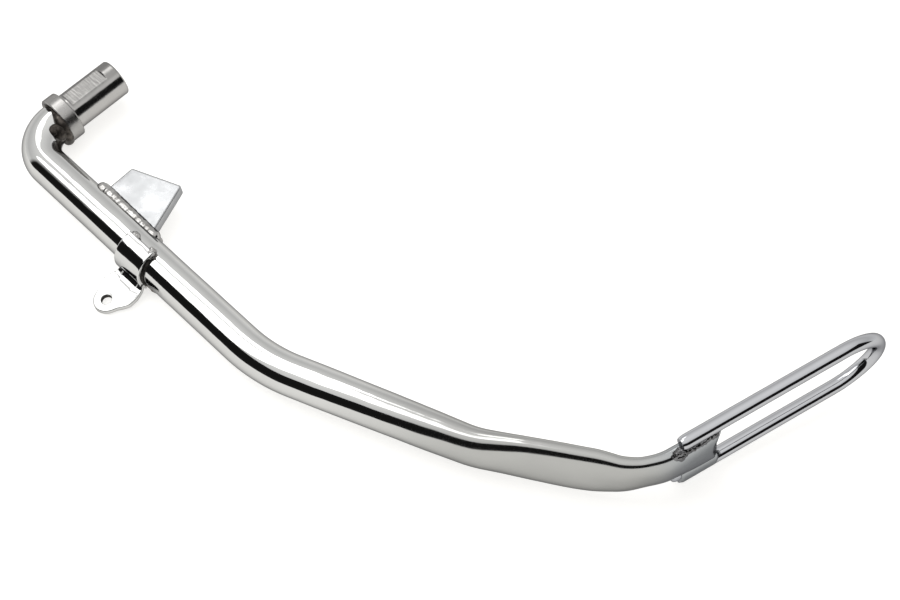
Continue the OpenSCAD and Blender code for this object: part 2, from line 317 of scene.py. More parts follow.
MAT_BRIGHT = chrome("bright_chrome", (0.57, 0.57, 0.56), 0.02, 0.03, 60.0, 0.1)
MAT_LEG = chrome("leg_chrome", (0.57, 0.57, 0.558), 0.02, 0.03, 60.0, 0.1)
# the forged end is plated over a coarser surface than the drawn bar, so it is rougher; its darker tone is
# painted shade in the reflection
fade_in(MAT_LEG, "X", 0.165, 0.235, (0.72, 0.72, 0.71, 1), 0.1)
# nearer the foot's end a darker, bluer tone is a painted reflection; the roughness rises a little too
fade_in(MAT_LEG, "Y", 0.036, 0.054, (0.84, 0.87, 0.92, 1), 0.06)
MAT_ROD = chrome("rod_chrome", (0.46, 0.465, 0.48), 0.02, 0.03, 90.0, 0.12)
MAT_TURNED = chrome("turned_chrome", (0.40, 0.392, 0.38), 0.09, 0.1, 140.0, 0.35)
fade_in(MAT_TURNED, "Y", 0.0012, -0.0004, (0.86, 0.86, 0.86, 1), 0.14)
fade_in(MAT_TURNED, "Z", 0.0060, 0.0071, (0.64, 0.64, 0.64, 1), 0.04, ("Y", 0.0004, 0.0014))
on_flat = fade_in(MAT_TURNED, "Z", 0.0066, 0.00695, (1, 1, 1, 1), 0.0,
                  ("Y", 0.0197, 0.0194), ("Y", 0.001, 0.0014))
milled(MAT_TURNED, *on_flat)
MAT_SATIN = chrome("satin_chrome", (0.40, 0.405, 0.41), 0.22, 0.16, 80.0, 0.5, (0.345, 0.35, 0.355))
MAT_BEAD = chrome("plated_weld", (0.42, 0.415, 0.405), 0.07, 0.16, 300.0, 0.5, (0.27, 0.262, 0.25))
MAT_NECK = weld_metal("neck_weld", (0.012, 0.011, 0.01), (0.10, 0.088, 0.078), 0.3, 0.6)
MAT_RIDGE = chrome("ridged_weld", (0.2, 0.2, 0.205), 0.08, 0.12, 300.0, 0.9, (0.06, 0.058, 0.056))
MAT_FILL = chrome("smooth_weld", (0.42, 0.43, 0.45), 0.16, 0.1, 160.0, 0.4)
# near-black metal: real spatter by the neck, and painted shade at the saddle's far edge and inside the
# spring hole
MAT_SHADE_AND_SPATTER = weld_metal("seam", (0.01, 0.01, 0.01), (0.06, 0.055, 0.05), 0.5, 0.7)
MAT_WELD = weld_metal("rough_weld", (0.015, 0.013, 0.012), (0.30, 0.27, 0.245), 0.25, 0.6)


# ---------------------------------------------------------------- the leg
def leg_path():
    """Centres and headings along the leg, every half millimetre or so."""
    out = []

    def line(p, d, l, step=0.8):
        n = max(1, int(l / step))
        for i in range(n):
            out.append((p + d * (l * i / n), d.copy()))

    def arc(start, a0, turn, r, step=0.7):
        l = r * math.radians(abs(turn))
        n = max(6, int(l / step))
        c = start + r * heading(a0 + 90)
        for i in range(n):
            a = a0 + turn * i / n
            out.append((c + r * heading(a - 90), heading(a)))
        return c + r * heading(a0 + turn - 90)

    p = Vector((0.0, -COLLAR_T + 1.0, 0.0))
    line(p, Vector((0, -1, 0)), NECK_L + 1.0)
    p = arc(Vector((0.0, -COLLAR_T - NECK_L, 0.0)), -90, 90, BEND1_R, 0.5)
    l = LEG_A - T2 - BEND1_R
    line(p, heading(0), l)
    p = arc(p + heading(0) * l, 0, BEND2, BEND2_R)
    l = LEG_B - T2 - T3
    line(p, heading(A2), l)
    p = arc(p + heading(A2) * l, A2, BEND3, BEND3_R)
    l = LEG_C - T3 - T4
    line(p, heading(A3), l)
    p = arc(p + heading(A3) * l, A3, BEND4, BEND4_R)
    line(p, FOOT_DIR, FOOT_L - T4, 0.5)
    out.append((p + FOOT_DIR * (FOOT_L - T4), FOOT_DIR.copy()))
    return out


# The forged end, against the fraction of its length: half thickness, half width,
# how square the section is, its twist in degrees and its shift towards the outside
HALF_T = [(0, BAR_R), (0.05, BAR_R * 0.985), (0.25, BAR_R * 0.9), (0.41, BAR_R * 0.75),
          (0.545, FOOT_T / 2 + 1.7), (0.68, FOOT_T / 2 + 1.4), (0.76, FOOT_T / 2 + 0.9),
          (0.81, FOOT_T / 2 + 0.6), (0.87, FOOT_T / 2 + 0.8), (1, FOOT_T / 2)]
HALF_W = [(0, BAR_R), (0.05, BAR_R * 1.02), (0.25, BAR_R * 1.06), (0.41, BAR_R * 1.14),
          (0.545, FOOT_W / 2 - 0.4), (0.68, FOOT_W / 2 + 0.2), (0.76, FOOT_W / 2 - 0.8),
          (0.81, FOOT_W / 2 - 1.5), (0.87, FOOT_W / 2 - 1.3), (1, FOOT_W / 2)]
SQUARE = [(0, 2), (0.41, 2.1), (0.68, 2.4), (0.87, 2.4), (1, 3.6)]
TWIST = [(0, 0), (0.05, 4), (0.25, 9), (0.41, 10), (0.545, 11), (0.68, 9), (0.76, 3), (0.81, 0), (1, 0)]
SHIFT = [(0, 0), (0.6, 0), (0.74, -0.6), (0.81, -1.2), (0.87, -0.6), (1, 0)]


def build_leg():
    path = leg_path()
    start = V3 - FORGE_IN * heading(A2)
    total = (FORGE_IN + LEG_C - T3 - T4 + math.radians(BEND3) * BEND3_R
             + math.radians(BEND4) * BEND4_R + FOOT_L - T4 - T3)
    run, began, prev = 0.0, False, None
    rings = []
    sides = 112
    for p, d in path:
        if began:
            run += (p - prev).length
        elif p.x >= start.x and p.y > -LEG_OFF + 1:
            began = True
        prev = p
        q = min(1.0, run / total)
        h = soft_lookup(q, HALF_T)
        w = soft_lookup(q, HALF_W)
        e = soft_lookup(q, SQUARE)
        tw = math.radians(soft_lookup(q, TWIST))
        shift = soft_lookup(q, SHIFT)
        out = Vector((d.y, -d.x, 0))
        left = total - run                       # distance to the foot's end
        hollow = smooth_step(9, 0, left) if began else 0.0
        ring = []
        for k in range(sides):
            a = 2 * math.pi * k / sides
            c, s = math.cos(a), math.sin(a)
            x = math.copysign(abs(c) ** (2 / e), c) * h
            z = math.copysign(abs(s) ** (2 / e), s) * w
            if began and left < 1.6:
                x *= 0.72 + 0.28 * math.sqrt(max(0.0, 1 - (1 - left / 1.6) ** 2))
            nx, nz = x / h, z / w
            if hollow:
                reach = 1 - (z / w) ** 2
            x, z = x * math.cos(tw) - z * math.sin(tw), x * math.sin(tw) + z * math.cos(tw)
            v = p + out * (x + shift) + UP * z
            if hollow:
                v = v - d * (3.4 * hollow * reach)
            nrm = (out * nx + UP * nz).normalized()
            amp = 0.035 + 0.05 * smooth_step(0, 0.5, q)
            dv = fbm(v, 13.0, 2) - 0.35
            ring.append(v + nrm * (amp * dv))
        rings.append(ring)
    verts, faces = skin(rings)
    ob = add_mesh("leg_bar", verts, faces, MAT_LEG, 50)
    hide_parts("leg")


# ---------------------------------------------------------------- pivot pin
def flat_level(y, a):
    """Height of the milled flat over the pin's axis, with the cutter's chatter."""
    run_out, chatter_depth, chatter_pitch = 0.35, 0.012, 0.58
    edge = min(y - FLAT_FROM, FLAT_TO - y)
    near_side = 0.4 + 0.6 * max(0.0, math.cos(a)) * 2.0
    chatter = chatter_depth * abs(math.sin(math.pi * y / chatter_pitch)) * near_side
    chatter = chatter + 0.014 * fbm((y * 2.6, math.cos(a) * 1.4, 4.0), 1.0, 3)
    return PIN_R - FLAT_DEPTH * min(1.0, edge / run_out) + chatter


def build_pin():
    """Turned pin and collar as one lathe shape, with a milled flat on its upper side."""
    back_round, front_round, fillet = 0.6, 0.7, 0.6
    thread_depth, thread_pitch = 0.22, 1.25
    prof = [(-COLLAR_T, BAR_R - 1.5), (-COLLAR_T, COLLAR_R - 0.9)]

    def corner(y0, r0, y1, r1, from_face, n=6):
        """Quarter round from (y0, r0) to (y1, r1), off a face or off a cylinder."""
        for i in range(n + 1):
            t = math.pi / 2 * i / n
            slow, fast = 1 - math.cos(t), math.sin(t)
            along, outwards = (slow, fast) if from_face else (fast, slow)
            prof.append((y0 + (y1 - y0) * along, r0 + (r1 - r0) * outwards))

    corner(-COLLAR_T, COLLAR_R - back_round, -COLLAR_T + back_round, COLLAR_R, True)
    y = -COLLAR_T + 0.9
    while y < -0.9:
        prof.append((y, COLLAR_R))
        y += 0.3
    corner(-front_round, COLLAR_R, 0.0, COLLAR_R - front_round, False)
    r = COLLAR_R - 0.9
    while r > PIN_R + 0.75:
        prof.append((0.0, r))
        r -= 0.2
    for i in range(7):
        t = math.pi / 2 * i / 6
        prof.append((fillet * (1 - math.cos(t)), PIN_R + fillet * (1 - math.sin(t))))
    y = 0.8
    while y < PIN_L - PIN_CHAMFER - 0.05:
        prof.append((y, PIN_R))
        y += 0.12
    for i in range(7):
        t = math.pi / 2 * i / 6
        prof.append((PIN_L - PIN_CHAMFER * (1 - math.sin(t)), PIN_R - PIN_CHAMFER * (1 - math.cos(t))))
    for r in (6.5, 6.0, 5.2, 4.4, TAP_R + 0.5):
        prof.append((PIN_L, r))
    prof += [(PIN_L - 0.4, TAP_R + 0.1), (PIN_L - 0.5, TAP_R)]
    y = PIN_L - 0.7
    while y > PIN_L - TAP_DEPTH + 0.4:
        prof.append((y, TAP_R - thread_depth * abs(math.sin(math.pi * y / thread_pitch))))
        y -= 0.15
    prof += [(PIN_L - TAP_DEPTH + 0.3, TAP_R), (PIN_L - TAP_DEPTH, TAP_R - 0.4), (PIN_L - TAP_DEPTH, 0.3)]
    sides = 180
    rings = []
    for y, r in prof:
        ring = []
        for k in range(sides):
            a = 2 * math.pi * k / sides
            rr = r
            if FLAT_FROM < y < FLAT_TO and r > TAP_R + 2 and math.sin(a) > 0.2:
                rr = min(r, flat_level(y, a) / math.sin(a))
            depth, pitch = (0.012, 0.55) if r > COLLAR_R - 0.1 else (0.006, 0.4)
            turned = depth * math.sin(2 * math.pi * y / pitch)
            rr += turned + 0.02 * fbm((rr * math.cos(a), y, rr * math.sin(a)), 6.0, 2) - 0.03
            ring.append(Vector((rr * math.cos(a), y, rr * math.sin(a))))
        rings.append(ring)
    verts, faces = skin(rings)
    faces = [tuple(reversed(f)) for f in faces]
    ob = add_mesh("pin_and_collar", verts, faces, MAT_TURNED, 42)
    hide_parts("pivot_pin")


# ---------------------------------------------------------------- stop plate
def rounded_outline(points, radius, steps=8):
    """Points round a convex polygon whose corners are rounded."""
    out = []
    n = len(points)
    for i in range(n):
        p, a, b = points[i], points[i - 1], points[(i + 1) % n]
        da, db = (a - p).normalized(), (b - p).normalized()
        half = da.angle(db) / 2
        t = radius / math.tan(half)
        c = p + (da + db).normalized() * (radius / math.sin(half))
        s, e = p + da * t - c, p + db * t - c
        ang = s.angle(e)
        for k in range(steps + 1):
            f = k / steps
            v = (math.sin((1 - f) * ang) * s + math.sin(f * ang) * e) / math.sin(ang)
            out.append(c + v)
    return out


def build_stop_plate():
    o = Vector((STOP_X, -LEG_OFF, 0))
    pts = [o + Vector((0.7, 3.0, 0)), o + Vector((STOP_ROOT, 3.0, 0)),
           o + Vector((STOP_ROOT, BAR_R + 0.5, 0)), o + Vector((STOP_TOP, STOP_FAR_H, 0)),
           o + Vector((0.0, STOP_NEAR_H, 0))]
    outline = rounded_outline(pts, 1.3)
    # even spacing so that the edge is smooth
    dense = []
    for i, p in enumerate(outline):
        q = outline[(i + 1) % len(outline)]
        n = max(1, int((q - p).length / 0.8))
        for k in range(n):
            dense.append(p + (q - p) * k / n)
    centre = sum(dense, Vector()) / len(dense)
    edge = 0.85
    rings = []

    def ring(inset, z):
        r = []
        for i, p in enumerate(dense):
            a, b = dense[i - 1], dense[(i + 1) % len(dense)]
            t = (b - a).normalized()
            n_in = Vector((-t.y, t.x, 0))
            if n_in.dot(centre - p) < 0:
                n_in = -n_in
            v = p + n_in * inset
            r.append(Vector((v.x, v.y, z)))
        return r

    def on_face(v, zs):
        wave = 0.05 * zs * (fbm((v.x, v.y, zs * 9.0), 9.0, 2) - 0.5)
        return Vector((v.x, v.y, half * zs + wave))

    half = STOP_T / 2
    tops = []
    for f in (0.0, 0.12, 0.3, 0.5, 0.7, 0.88):
        tops.append([centre.lerp(p, f) for p in ring(edge, 0)])
    for zs in (-1, 1):
        part = []
        for r in tops:
            part.append([on_face(v, zs) for v in r])
        part.append(ring(edge, half * zs - 0.01 * zs))
        for k in range(1, 6):
            t = math.pi / 2 * k / 6
            part.append(ring(edge * (1 - math.sin(t)), zs * (half - edge * (1 - math.cos(t)))))
        part.append(ring(0, zs * (half - edge)))
        if zs < 0:
            rings += part
        else:
            rings += part[::-1]
    verts, faces = skin(rings, caps=False)
    ob = add_mesh("stop_plate_body", verts, faces, MAT_SATIN, 60)
    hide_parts("stop_plate")


# ---------------------------------------------------------------- weld beads
def bead(name, centre_line, radius, ripple, pitch, rough, material, node, sides=36, seed=0.0):
    """A weld bead: a swollen rod with scales along it, sunk in its corner."""
    rings = []
    run = 0.0
    n = len(centre_line)
    length = sum((b - a).length for a, b in zip(centre_line, centre_line[1:]))
    for i, p in enumerate(centre_line):
        a = centre_line[max(0, i - 1)]
        b = centre_line[min(n - 1, i + 1)]
        d = (b - a).normalized()
        run += (p - a).length if i else 0.0
        ref = UP if abs(d.z) < 0.9 else Vector((1, 0, 0))
        u = d.cross(ref).normalized()
        v = d.cross(u).normalized()
        f = i / (n - 1)
        cap = math.sqrt(max(0.0, 1 - (1 - min(1.0, min(f, 1 - f) * length / radius)) ** 2))
        ring = []
        for k in range(sides):
            ang = 2 * math.pi * k / sides
            q = u * math.cos(ang) + v * math.sin(ang)
            s = abs(math.sin(math.pi * (run + 0.35 * math.cos(2 * ang)) / pitch))
            r = radius * cap * (1 - ripple + ripple * s)
            r += rough * fbm(p + q * radius + Vector((seed, 0, 0)), 2.2, 3) * cap
            ring.append(p + q * max(r, 0.02))
        rings.append(ring)
    verts, faces = skin(rings)
    ob = add_mesh(name, verts, faces, material, None)
    if node:
        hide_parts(node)
    return ob


def straight(a, b, step=0.3):
    n = max(4, int((b - a).length / step))
    return [a.lerp(b, i / n) for i in range(n + 1)]


def blob(name, centre, radii, rough, material, node, seed=0.0, detail=2.0, axes=None):
    """A lump of weld metal."""
    rings = []
    nu, nv = 40, 64
    for i in range(1, nu):
        t = math.pi * i / nu
        ring = []
        for k in range(nv):
            a = 2 * math.pi * k / nv
            q = Vector((math.sin(t) * math.cos(a), math.sin(t) * math.sin(a), math.cos(t)))
            f = 1 + rough * fbm(q * 3.0 + Vector((seed, seed, 0)), detail, 4)
            v = Vector((q.x * radii[0], q.y * radii[1], q.z * radii[2])) * f
            if axes:
                v = axes[0] * v.x + axes[1] * v.y + axes[2] * v.z
            ring.append(centre + v)
        rings.append(ring)
    verts, faces = skin(rings)
    ob = add_mesh(name, verts, faces, material, None)
    if node:
        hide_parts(node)


def build_stop_welds():
    y = -LEG_OFF + BAR_R - 0.4
    for zs, node in ((1, "stop_weld_upper"), (-1, "stop_weld_lower")):
        z = zs * (STOP_T / 2 + 0.2)
        line = straight(Vector((STOP_X - 2.6, y - 0.9, z + zs * 0.9)), Vector((STOP_X + 2, y, z)))
        line += straight(Vector((STOP_X + 2.3, y, z)),
                         Vector((STOP_X + STOP_ROOT + 4.4, y - 0.6, z - zs * 0.6)))[1:]
        bead("stop_bead_" + ("up" if zs > 0 else "down"), line, 2.7, 0.03, 2.6, 0.2,
             MAT_BEAD, node, seed=zs * 5.0)


# ---------------------------------------------------------------- spring bracket
def tab_outline(n):
    """Points of the tab's edge, in n directions from the hole's centre."""
    pts = []
    tip = Vector((0, -HOOK_REACH, 0))
    for i in range(n):
        a = 2 * math.pi * i / n
        d = Vector((math.cos(a), math.sin(a), 0))
        # halve the distance to the edge
        lo, hi = 0.0, 30.0
        for _ in range(40):
            mid = (lo + hi) / 2
            if tab_inside(tip + d * mid):
                lo = mid
            else:
                hi = mid
        pts.append(tip + d * lo)
    return pts


def tab_half_width(y):
    """Half width of the tab at a distance y below the leg axis (y is negative)."""
    table = [(-HOOK_REACH - TAB_END_R, 0.0), (-HOOK_REACH - TAB_END_R * 0.86, TAB_END_R * 0.52),
             (-HOOK_REACH - TAB_END_R * 0.5, TAB_END_R * 0.9), (-HOOK_REACH + 0.6, TAB_END_R * 1.19),
             (-19.2, 7.6), (-17.0, TAB_W / 2), (-14.2, 8.25), (-11.5, 7.5),
             (-8.0, BRACKET_W / 2 - 0.4), (0.0, BRACKET_W / 2 - 0.6)]
    return soft_lookup(y, table)


def tab_inside(p):
    if p.y < -HOOK_REACH:
        return (p - Vector((0, -HOOK_REACH, 0))).length < TAB_END_R or (
            abs(p.x) < tab_half_width(p.y) and p.y > -HOOK_REACH - TAB_END_R)
    if p.y > -4.0:
        return False
    return abs(p.x) < tab_half_width(p.y)


def build_bracket():
    so = BAR_R + SHEET_T
    mid_x = BRACKET_X + BRACKET_W / 2
    # saddle: a bent strip, swept across its width with rounded edges
    end_a = 180 + math.degrees(math.asin((TAB_DROP + SHEET_T) / so))
    steps = 90
    edge = 0.5
    rings = []
    for i in range(steps + 1):
        a = math.radians(86 + (end_a - 86) * i / steps)
        u = Vector((0, math.cos(a), math.sin(a)))
        base = Vector((0, -LEG_OFF, 0))
        endf = min(1.0, i / 3.0)
        trim = edge * (1 - math.sqrt(max(0.0, 1 - (1 - endf) ** 2)))
        ring = []
        x0, x1 = BRACKET_X + 0.02, BRACKET_X + BRACKET_W - 0.02
        r0, r1 = BAR_R - 0.1, so - 0.02 - trim
        corner_pts = []
        for (cx, cr, s) in ((x1 - edge, r1 - edge, 0), (x0 + edge, r1 - edge, 1)):
            for k in range(7):
                t = math.pi / 2 * (k / 6 + s)
                corner_pts.append((cx + edge * math.cos(t), cr + edge * math.sin(t)))
        n_top = 22
        across = [(x1 - edge + (x0 - x1 + 2 * edge) * k / n_top, r1) for k in range(1, n_top)]
        under = [(x0 + (x1 - x0) * k / 10, r0) for k in range(1, 10)]
        pts = (corner_pts[:7] + across + corner_pts[7:] + [(x0, r0 + 0.4), (x0, r0)]
               + under + [(x1, r0), (x1, r0 + 0.4)])
        for x, r in pts:
            w = 0.05 * (fbm((x, r * math.cos(a), r * math.sin(a)), 6.0, 2) - 0.4)
            ring.append(base + Vector((x, 0, 0)) + u * (r + (w if r > r0 + 0.5 else 0)))
        rings.append(ring)
    verts, faces = skin(rings)
    saddle = add_mesh("bracket_saddle", verts, faces, MAT_BRIGHT, 50)

    # tab: a flat plate round the hole, curling up into the saddle at its root
    n = 220
    outline = tab_outline(n)
    tip = Vector((0, -HOOK_REACH, 0))
    half = SHEET_T / 2
    er = 0.55
    fractions = [0.06, 0.12, 0.2, 0.3, 0.4, 0.5, 0.6, 0.7, 0.8, 0.88, 0.94]

    def place(i, dist):
        """Point at a distance from the hole's centre, in the i-th direction."""
        d = outline[i] - tip
        d = d / d.length
        return tip + d * dist

    def lift(p, z):
        """The plate's root curls up to meet the saddle."""
        r_here = abs(p.y)
        start, top = 12.6, so - 0.9
        if r_here < start:
            f = min(1.0, (start - r_here) / (start - top))
            z += 1.9 * (1 - math.sqrt(max(0.0, 1 - f * f)))
        return z

    def make(side):
        """Rings of one face, from the hole's edge to the tab's edge."""
        part = []
        for k in range(6):
            t = math.pi / 2 * k / 5
            rad = HOOK_R + 0.3 * (1 - math.cos(t))
            z = side * (half - 0.3 * (1 - math.sin(t)))
            ring = []
            for i in range(n):
                p = place(i, rad)
                ring.append(Vector((p.x, p.y, z)))
            part.append(ring)
        for f in fractions:
            ring = []
            for i in range(n):
                l = (outline[i] - tip).length
                a, b = HOOK_R + 0.3, l - er
                p = place(i, a + (b - a) * f)
                z = side * half + 0.03 * (fbm((p.x, p.y, side * 3.0), 5.0, 2) - 0.4) * side
                ring.append(Vector((p.x, p.y, lift(p, z))))
            part.append(ring)
        for k in range(7):
            t = math.pi / 2 * k / 6
            ring = []
            for i in range(n):
                l = (outline[i] - tip).length
                p = place(i, l - er * (1 - math.sin(t)))
                z = side * (half - er * (1 - math.cos(t)))
                ring.append(Vector((p.x, p.y, lift(p, z))))
            part.append(ring)
        return part

    up, down = make(1), make(-1)
    rings = up + down[::-1]
    verts, faces = skin(rings, closed=True)
    base = Vector((mid_x + 0.8, -LEG_OFF, -TAB_DROP - half))
    verts = [v + base for v in verts]
    add_mesh("bracket_tab", verts, faces, MAT_BRIGHT, 50)
    # near-black wall of the spring hole, a hair inside the tab's own: painted shade inside the hole
    wall_r = HOOK_R - 0.01
    turns = [0.1 * math.pi * k / 3 for k in range(60)]
    wall = [[base + tip + Vector((wall_r * math.cos(t), wall_r * math.sin(t), z)) for t in turns]
            for z in (-half + 0.25, -half / 2, 0.0, half / 2, half - 0.25)]
    verts, faces = skin(wall, caps=False)
    add_mesh("hook_bore", verts, [tuple(reversed(f)) for f in faces], MAT_SHADE_AND_SPATTER, 50)
    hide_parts("spring_bracket")


def build_bracket_welds():
    top = Vector((0, -LEG_OFF, 0))
    near = top + Vector((BRACKET_X + 2.6, 1.0, BAR_R + 0.9))
    far = top + Vector((BRACKET_X + BRACKET_W - 1.6, -0.2, BAR_R + 1.0))
    blob("tack_near", near, (2.1, 1.5, 1.1), 0.16, MAT_BEAD, "bracket_tack_near", 1.0)
    blob("tack_far", far, (2.1, 2.3, 1.4), 0.3, MAT_BEAD, "bracket_tack_far", 7.0)
    a = math.radians(180 + 50)
    c = top + Vector((0, (BAR_R + 0.2) * math.cos(a), (BAR_R + 0.2) * math.sin(a)))
    line = straight(c + Vector((BRACKET_X + 1.5, 0, 0)), c + Vector((BRACKET_X + BRACKET_W + 4.6, 0.2, 0)))
    # a thin near-black tube round the saddle's far edge, against the bar: painted shade in the gap between
    # them
    seam_x, seam_r = BRACKET_X + BRACKET_W + 0.2, BAR_R + 0.25
    seam = []
    for i in range(71):
        t = math.radians(98 + 1.55 * i)
        seam.append(top + Vector((seam_x, seam_r * math.cos(t), seam_r * math.sin(t))))
    bead("bracket_seam", seam, 0.6, 0.06, 1.4, 0.12, MAT_SHADE_AND_SPATTER, None, sides=20, seed=9.0)
    bead("bracket_bead", line, 2.15, 0.08, 2.0, 0.3, MAT_WELD, "bracket_weld", seed=3.0)


def build_pin_weld():
    """Rough ring of weld behind the collar, thin outside the bend and thick inside it."""
    rings = []
    n = 160
    for i in range(n):
        a = 2 * math.pi * i / n
        u = Vector((math.cos(a), 0, math.sin(a)))
        inside = smooth_step(-0.1, 0.9, math.cos(a))        # +X is the inside of the bend
        size = 0.65 + 1.75 * inside
        c = u * (BAR_R - 0.1 + 0.4 * inside) + Vector((0, -COLLAR_T - 0.15 - 1.0 * inside, 0))
        ring = []
        for k in range(26):
            t = 2 * math.pi * k / 26
            q = u * math.cos(t) + Vector((0, 1, 0)) * math.sin(t)
            s = abs(math.sin(a * 11 + math.sin(t)))
            r = size * (0.95 + 0.05 * s) + (0.16 + 0.06 * inside) * fbm(c + q * 1.5, 2.4, 3)
            v = c + q * max(0.2, r)
            ring.append(Vector((v.x, min(v.y, -COLLAR_T + 0.3), v.z)))
        rings.append(ring)
    verts, faces = skin(rings, closed=True)
    ob = add_mesh("neck_bead", verts, faces, MAT_NECK, None)
    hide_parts("pin_weld")
    blob("neck_pool", Vector((BAR_R - 1.1, -COLLAR_T - 3.4, 2.6)), (3.3, 3.5, 4.4), 0.06,
         MAT_NECK, None, 4.0)
    blob("neck_lap", Vector((BAR_R - 1.9, -COLLAR_T - 5.0, 4.85)), (2.8, 2.8, 2.2), 0.08,
         MAT_NECK, None, 5.0)
    blob("neck_spatter", Vector((-1.5, -COLLAR_T - 0.9, BAR_R + 0.1)), (1.5, 0.6, 0.5), 0.35,
         MAT_SHADE_AND_SPATTER, None, 6.0)


# ---------------------------------------------------------------- foot loop
def foot_point(s, across=0.0, out=0.0):
    return V4 + FOOT_DIR * s + UP * across + FOOT_OUT * out


# The loop's end: a turn of wide radius on each side and a tighter one between them
TURN = 40.0
TIP_R = ARM_Z * 0.85
SIDE_R = (ARM_Z - TIP_R * math.cos(math.radians(TURN))) / (1 - math.cos(math.radians(TURN)))
LOOP_BEND_L = SIDE_R * math.sin(math.radians(TURN)) + TIP_R * (1 - math.sin(math.radians(TURN)))
ARM_END = LOOP_L - LOOP_BEND_L


def build_loop():
    # stations: distance along the foot, height over the bend plane, turn so far
    n = int((ARM_END - LOOP_START) / 0.8)
    arm = [LOOP_START + (ARM_END - LOOP_START) * i / n for i in range(n)]
    pts = [(s, ARM_Z, 0.0) for s in arm]
    steps = 24
    for i in range(steps):
        a = math.radians(TURN * i / steps)
        pts.append((ARM_END + SIDE_R * math.sin(a), ARM_Z - SIDE_R * (1 - math.cos(a)), a))
    for i in range(2 * steps + 1):
        a = math.radians(TURN + (180 - 2 * TURN) * i / (2 * steps))
        pts.append((LOOP_L - TIP_R + TIP_R * math.sin(a), TIP_R * math.cos(a), a))
    for i in range(1, steps + 1):
        a = math.radians(180 - TURN + TURN * i / steps)
        pts.append((ARM_END + SIDE_R * math.sin(a), -ARM_Z + SIDE_R * (1 + math.cos(a)), a))
    pts += [(s, -ARM_Z, math.pi) for s in reversed(arm)]
    rings = []
    sides = 56
    for i, (s, z, a) in enumerate(pts):
        c = foot_point(s, z)
        nrm = FOOT_DIR * math.sin(a) + UP * math.cos(a)      # outwards in the loop's plane
        # the cut ends have a small chamfer
        end = min(i, len(pts) - 1 - i)
        shrink = (0.82, 0.93, 0.98, 1.0)[min(end, 3)]
        ring = []
        for k in range(sides):
            t = 2 * math.pi * k / sides
            q = nrm * math.cos(t) + FOOT_OUT * math.sin(t)
            r = ROD_R * shrink + 0.02 * fbm(c + q * ROD_R, 7.0, 2) - 0.02
            ring.append(c + q * r)
        rings.append(ring)
    verts, faces = skin(rings)
    ob = add_mesh("loop_rod", verts, faces, MAT_ROD, 50)
    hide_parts("foot_loop")


def loop_fill():
    """Weld dressed flush with the foot's outer face, over the start of the lower arm."""
    edge = [(-6.6, 1.4), (-7.4, 2.3), (-8.4, 2.75), (-9.6, 2.92), (-11.0, 2.98), (-12.4, 2.96),
            (-13.6, 2.86), (-14.6, 2.62), (-15.3, 2.2), (-15.9, 1.6), (-16.25, 0.8), (-16.35, 0.0),
            (-15.6, -0.6), (-12.0, -0.8), (-8.0, -0.6)]
    mid_z, mid_out = -13.0, 0.4
    rings = []
    for i in range(61):
        s = 12.6 + 19.0 * i / 60
        k = 0.25 + 0.75 * smooth_step(12.4, 15.4, s) * (1 - 0.75 * smooth_step(28.6, 31.6, s))
        ring = []
        for z, o in edge:
            wave = UP * (0.05 * fbm((s, z, o), 5.0, 2))
            ring.append(foot_point(s, mid_z + (z - mid_z) * k, mid_out + (o - mid_out) * k) + wave)
        rings.append(ring)
    verts, faces = skin(rings)
    add_mesh("loop_fill", verts, faces, MAT_LEG, None)


def build_loop_welds():
    for zs, tag in ((1, "upper"), (-1, "lower")):
        z = zs * (ARM_Z - ROD_R)
        first = None
        for side in (1, -1):
            ridged = zs > 0 and side > 0
            out = 0.9 if zs < 0 and side > 0 else 2.0 * side
            line = straight(foot_point(LOOP_START + 0.4, z - zs * 0.4, out),
                            foot_point(FOOT_L - 1.4, z - zs * 0.4, 0.75 * out))
            name = "loop_bead_%s_%s" % (tag, "out" if side > 0 else "in")
            ob = bead(name, line, 1.55, 0.14 if ridged else 0.02, 1.5, 0.42 if ridged else 0.08,
                      MAT_RIDGE if ridged else MAT_FILL, None, seed=zs * 3 + side)
            first = first or ob
        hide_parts("loop_weld_" + tag)
        if zs < 0:
            loop_fill()
        # the upper pool stands up rough, the lower one is dressed
        out, half_out, rough, metal = (1.6, 2.2, 0.24, MAT_RIDGE) if zs > 0 else (0.9, 1.7, 0.05, MAT_FILL)
        blob("loop_pool_" + tag, foot_point(LOOP_START - 0.9, z - zs * 1.4, out), (2.6, 2.7, half_out),
             rough, metal, "loop_end_weld_" + tag, 2.0 + zs, axes=(FOOT_DIR, UP, FOOT_OUT))


build_leg()
build_pin()
build_stop_plate()
build_stop_welds()
build_bracket()
build_bracket_welds()
build_pin_weld()
build_loop()
build_loop_welds()

# ---------------------------------------------------------------- floor, light, camera
# The stand rests on its collar, the root of the spring bracket and one loop arm,
# so the floor is tilted a little in the stand's own frame.
FLOOR_N = Vector((0.0042, 0.0903, 0.9959)).normalized()
low = min((ob.matrix_world @ v.co).dot(FLOOR_N)
          for ob in bpy.data.objects if ob.type == "MESH" and not ob.hide_render
          for v in ob.data.vertices)

MIDDLE = Vector((0.15, 0.02, 0.0))      # about the middle of the stand, in metres
FLOOR_GAP = 0.00005
CAM = Vector((0.4085, -0.1391, 0.5078))
LOOK = Vector((-0.39605, 0.31138, -0.86382)).normalized()
right = LOOK.cross(FLOOR_N).normalized()
ahead = FLOOR_N.cross(right).normalized()


